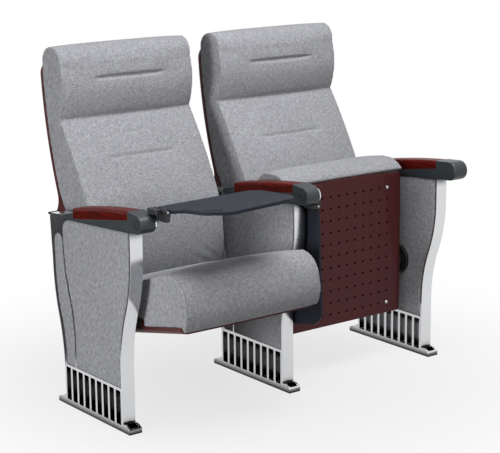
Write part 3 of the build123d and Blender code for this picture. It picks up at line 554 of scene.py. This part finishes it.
class SEATING_OT_stage(bpy.types.Operator):
    """Lay a pale floor, hang soft lights and set the camera"""

    bl_idname = "seating.stage"
    bl_label = "Stage"

    def execute(self, context):
        scene, size = context.scene, context.scene.seating_stage
        scene.view_settings.view_transform = "Standard"

        bpy.ops.mesh.primitive_circle_add(vertices=96, radius=30, fill_type="NGON")
        floor = context.object
        floor.name = "floor"
        floor.location.z = -0.3 * MM
        # Matt backdrop paper: no reflection, a soft shadow near the feet, and white further out
        material = bpy.data.materials.new("matt_paper_floor")
        material.use_nodes = True
        tree = material.node_tree
        tree.nodes.clear()
        place = node(tree, "ShaderNodeTexCoord").outputs["Object"]
        far = node(tree, "ShaderNodeVectorMath", {0: place}, operation="LENGTH")
        fade = node(
            tree, "ShaderNodeMapRange",
            {"Value": far.outputs["Value"], "From Min": 0.1, "From Max": size.floor_reach, "To Min": 0.75},
            interpolation_type="SMOOTHSTEP",
        )
        share = node(
            tree, "ShaderNodeMath", {0: fade.outputs[0], 1: seen_directly(tree)}, operation="MULTIPLY",
        )
        paper = node(tree, "ShaderNodeBsdfDiffuse", {"Color": (*size.floor_colour, 1)})
        white = node(tree, "ShaderNodeEmission", {"Strength": 1.0})
        mix = node(
            tree, "ShaderNodeMixShader",
            {0: share.outputs[0], 1: paper.outputs[0], 2: white.outputs[0]},
        )
        node(tree, "ShaderNodeOutputMaterial", {"Surface": mix.outputs[0]})
        floor.data.materials.append(material)

        bpy.ops.mesh.primitive_plane_add(size=1, location=(*size.flag_centre, 0.5 * MM))
        flag = context.object
        flag.name = "reflection_only_flag"
        flag.scale = (*size.flag_size, 1)
        # Painted dark reflection: a black sheet that the camera, scattered light and shadows don't see, so
        # the metal has something dark to reflect
        reflection_black, _, _ = surface("reflection_only_black_sheet", Base_Color=(*linear("19191c"), 1), Roughness=1.0)
        flag.data.materials.append(reflection_black)
        for ray in ("camera", "diffuse", "transmission", "volume_scatter", "shadow"):
            setattr(flag, f"visible_{ray}", False)

        world = bpy.data.worlds.new("pale_studio")
        scene.world = world
        world.use_nodes = True
        tree = world.node_tree
        tree.nodes.clear()
        strength = node(
            tree, "ShaderNodeMapRange", {"Value": seen_directly(tree), "To Min": 0.02, "To Max": 1.0},
        )
        sky = node(tree, "ShaderNodeBackground", {"Color": (1, 1, 1, 1), "Strength": strength.outputs[0]})
        node(tree, "ShaderNodeOutputWorld", {"Surface": sky.outputs[0]})

        # Name, place, aim, width in metres and power in watts
        lamps = (
            ("key", (0.1, -1.0, 3.3), (0.05, 0.0, 0.6), 1.8, 120.0),
            ("side", (-3.6, -1.0, 0.9), (0.0, 0.0, 0.5), 1.0, 86.0),
            ("fill", (1.0, -4.4, 1.5), (0.1, 0.0, 0.5), 2.0, 8.0),
        )
        for name, place, aim, width, power in lamps:
            lamp = bpy.data.lights.new(name, "AREA")
            lamp.size = width
            lamp.energy = power
            held = bpy.data.objects.new(name, lamp)
            held.location = place
            held.rotation_mode = "QUATERNION"
            held.rotation_quaternion = (Vector(aim) - Vector(place)).to_track_quat("-Z", "Y")
            scene.collection.objects.link(held)

        lens = bpy.data.cameras.new("camera")
        lens.lens = size.lens
        lens.clip_end = 100
        camera = bpy.data.objects.new("camera", lens)
        scene.collection.objects.link(camera)
        camera.matrix_world = (
            Matrix.Translation(size.camera_place)
            @ Matrix.Rotation(size.azimuth, 4, "Z")
            @ Matrix.Rotation(pi / 2 - size.elevation, 4, "X")
            @ Matrix.Rotation(size.roll, 4, "Z")
        )
        scene.camera = camera
        return {"FINISHED"}


class SEATING_OT_standards(bpy.types.Operator):
    """Polish the three cast standards"""

    bl_idname = "seating.standards"
    bl_label = "Standards"

    def execute(self, context):
        coat_nodes(polished_aluminium(), "standard_")
        return {"FINISHED"}


class SEATING_OT_side_panels(bpy.types.Operator):
    """Cover the padded side panels of the standards"""

    bl_idname = "seating.side_panels"
    bl_label = "Side Panels"

    def execute(self, context):
        cloth = cloth_material()
        for name in sorted(n for n in NODES if n.startswith(("main_panel", "rear_panel"))):
            panel = even_mesh(name, f"cloth_{name}", PANEL_MESH)
            soft = panel.modifiers.new("soft", "SMOOTH")
            soft.factor = 0.5
            soft.iterations = 4
            applied(panel)
            dress(panel, cloth, "frame", name)
        return {"FINISHED"}


class SEATING_OT_armrests(bpy.types.Operator):
    """Finish the armrest housings and their wooden caps"""

    bl_idname = "seating.armrests"
    bl_label = "Armrests"

    def execute(self, context):
        size = context.scene.seating_finishes
        coat_nodes(grained_solid("moulded_slate_abs", size.slate, 0.38, 1.5 * MM, 0.12), "arm_housing")
        beech = lacquered_wood("lacquered_beech", size.cap_wood, size.cap_grain, "Y", 0.08, 0.4, 0.04)
        coat_nodes(beech, "arm_cap")
        return {"FINISHED"}


class SEATING_OT_tablets(bpy.types.Operator):
    """Finish the writing tablets with their pivots and brackets"""

    bl_idname = "seating.tablets"
    bl_label = "Writing Tablets"

    def execute(self, context):
        size = context.scene.seating_finishes
        laminate = grained_solid("matt_laminate", size.laminate, 0.6, 2 * MM, 0.08, shine=0.15)
        coat_nodes(laminate, "tablet_board")
        chrome = grained_solid(
            "polished_chrome_plate", linear("e6e7e9"), 0.07, 4 * MM, 0.02, metallic=1.0,
        )
        coat_nodes(chrome, "tablet_barrel")
        powder = grained_solid("powder_coated_steel", size.black, 0.5, 1.2 * MM, 0.2)
        coat_nodes(powder, "tablet_bracket", "pivot_pin")
        return {"FINISHED"}


class SEATING_OT_seat_shells(bpy.types.Operator):
    """Finish the perforated seat pans, their frames and their hinges"""

    bl_idname = "seating.seat_shells"
    bl_label = "Seat Pans and Hinges"

    def execute(self, context):
        size = context.scene.seating_finishes
        plywood = lacquered_wood(
            "stained_moulded_plywood", size.shell_wood, size.shell_grain, "YZ", 0.12, 0.5, 0.15,
        )
        coat_nodes(plywood, "seat_pan", "back_shell")
        coat_nodes(bpy.data.materials["powder_coated_steel"], "seat_frame", "hinge_plate", "back_bracket")
        zinc = grained_solid("zinc_plated_steel", linear("b9bbbd"), 0.28, 2 * MM, 0.05, metallic=1.0)
        coat_nodes(zinc, "hinge_pins", "seat_screws", "back_bolts", "fold_pin")
        coat_nodes(grained_solid("moulded_black_nylon", size.black, 0.45, 1.5 * MM, 0.1), "hinge_hub")
        return {"FINISHED"}


class SEATING_OT_seat_cushions(bpy.types.Operator):
    """Fill and sew the two seat cushions"""

    bl_idname = "seating.seat_cushions"
    bl_label = "Seat Cushions"

    def execute(self, context):
        size = context.scene.seating_upholstery
        cushion = even_mesh("seat_cushion_left", "seat_pad_left", size.voxel)
        hinge = np.array(SEAT_HINGE["left"])
        above = np.array((0, np.sin(SEAT_SLOPE), np.cos(SEAT_SLOPE)))
        ahead = np.array((0, -np.cos(SEAT_SLOPE), np.sin(SEAT_SLOPE)))
        height = (points(cushion.data) - hinge) @ above
        lip = smooth_step((points(cushion.data) - hinge) @ ahead, *LIP_START)
        at_rim = smooth_step(height, *RIM_TACK)
        at_lip = smooth_step(height, *LIP_TACK)
        fill_pad(cushion, at_rim * (1 - lip) + at_lip * lip)
        refine(cushion)
        places = points(cushion.data)
        side = np.abs(places[:, 0] - SEAT_CENTRE["left"])
        half = side.max()
        edge = sink(side - (half - size.seam_inset), STITCH_WIDTH)
        height = (places - hinge) @ above
        depth = size.seam_depth * edge * smooth_step(height, 0, 20 * MM)
        move_to(cushion.data, places - normals(cushion.data) * depth[:, None])

        twin = bpy.data.objects.new("seat_pad_right", cushion.data.copy())
        context.scene.collection.objects.link(twin)
        to_right = (
            Matrix.Translation(SEAT_HINGE["right"])
            @ Matrix.Rotation(-TIP_TRAVEL, 4, "X")
            @ Matrix.Translation(-Vector(SEAT_HINGE["left"]))
        )
        twin.data.transform(to_right)
        for hand, piece in zip(HANDS, (cushion, twin)):
            dress(piece, cloth_material(), f"{hand}_seat", f"seat_cushion_{hand}")
        return {"FINISHED"}


class SEATING_OT_back_cushions(bpy.types.Operator):
    """Fill and sew the two back cushions"""

    bl_idname = "seating.back_cushions"
    bl_label = "Back Cushions"

    def execute(self, context):
        size = context.scene.seating_upholstery
        cushion = even_mesh("back_cushion_left", "back_pad_left", size.voxel)
        facing = normals(cushion.data)[:, 1]
        fill_pad(cushion, 1 - smooth_step(facing, 0.3, 0.8))
        refine(cushion)
        places = points(cushion.data)
        forward = forward_share(places, 2 * size.voxel)
        places[:, 0] += (SEAT_CENTRE["left"] - places[:, 0]) * forward * size.back_taper
        move_to(cushion.data, places)
        out = normals(cushion.data)
        side = np.abs(places[:, 0] - SEAT_CENTRE["left"]) / (1 - forward * size.back_taper)
        half = side.max()
        front = smooth_step(-out[:, 1], 0.1, 0.5)
        seam = size.seam_depth * sink(side - (half - size.seam_inset), STITCH_WIDTH)
        depth = np.where(out[:, 1] < 0.5, seam, 0)
        # A channel fades out over its last 30 mm and 8 mm past its end
        end = size.channel_length / 2
        reach = 1 - smooth_step(side, end - 30 * MM, end + 8 * MM)
        for level in (size.head_channel, size.back_channel):
            away = places[:, 2] - level
            # A narrow stitch line in a wider hollow of drawn-in foam
            groove = 0.6 * sink(away, 5 * MM) + 0.4 * sink(away, 26 * MM)
            depth = depth + size.channel_depth * groove * reach * front
        fold = places[:, 2] - size.crease
        depth = depth + size.seam_depth * sink(fold, CREASE_WIDTH) * front
        move_to(cushion.data, places - out * depth[:, None])

        twin = bpy.data.objects.new("back_pad_right", cushion.data.copy())
        context.scene.collection.objects.link(twin)
        twin.data.transform(Matrix.Translation((SEAT_CENTRE["right"] - SEAT_CENTRE["left"], 0, 0)))
        for hand, piece in zip(HANDS, (cushion, twin)):
            dress(piece, cloth_material(), "frame", f"back_cushion_{hand}")
        return {"FINISHED"}


class SEATING_PT_sidebar(bpy.types.Panel):
    """Sizes, finishes and steps of the seating unit"""

    bl_idname = "SEATING_PT_sidebar"
    bl_label = "Tip-up Seating"
    bl_space_type = "VIEW_3D"
    bl_region_type = "UI"
    bl_category = "Seating"

    def draw(self, context):
        for operator in OPERATORS:
            self.layout.operator(operator.bl_idname)
        for group in ("seating_upholstery", "seating_finishes", "seating_stage"):
            settings = getattr(context.scene, group)
            box = self.layout.box()
            for name in settings.__annotations__:
                box.prop(settings, name)


GROUPS = {
    "seating_upholstery": SeatingUpholstery,
    "seating_finishes": SeatingFinishes,
    "seating_stage": SeatingStage,
}
OPERATORS = (
    SEATING_OT_stage,
    SEATING_OT_standards,
    SEATING_OT_side_panels,
    SEATING_OT_armrests,
    SEATING_OT_tablets,
    SEATING_OT_seat_shells,
    SEATING_OT_seat_cushions,
    SEATING_OT_back_cushions,
)


def register():
    for kind in (*GROUPS.values(), *OPERATORS, SEATING_PT_sidebar):
        bpy.utils.register_class(kind)
    for name, group in GROUPS.items():
        setattr(bpy.types.Scene, name, PointerProperty(type=group))


def unregister():
    for name in GROUPS:
        delattr(bpy.types.Scene, name)
    for kind in reversed((*GROUPS.values(), *OPERATORS, SEATING_PT_sidebar)):
        bpy.utils.unregister_class(kind)


def main():
    register()
    bpy.ops.seating.stage()
    bpy.ops.seating.standards()
    bpy.ops.seating.side_panels()
    bpy.ops.seating.armrests()
    bpy.ops.seating.tablets()
    bpy.ops.seating.seat_shells()
    bpy.ops.seating.seat_cushions()
    bpy.ops.seating.back_cushions()


if __name__ == "__main__":
    main()
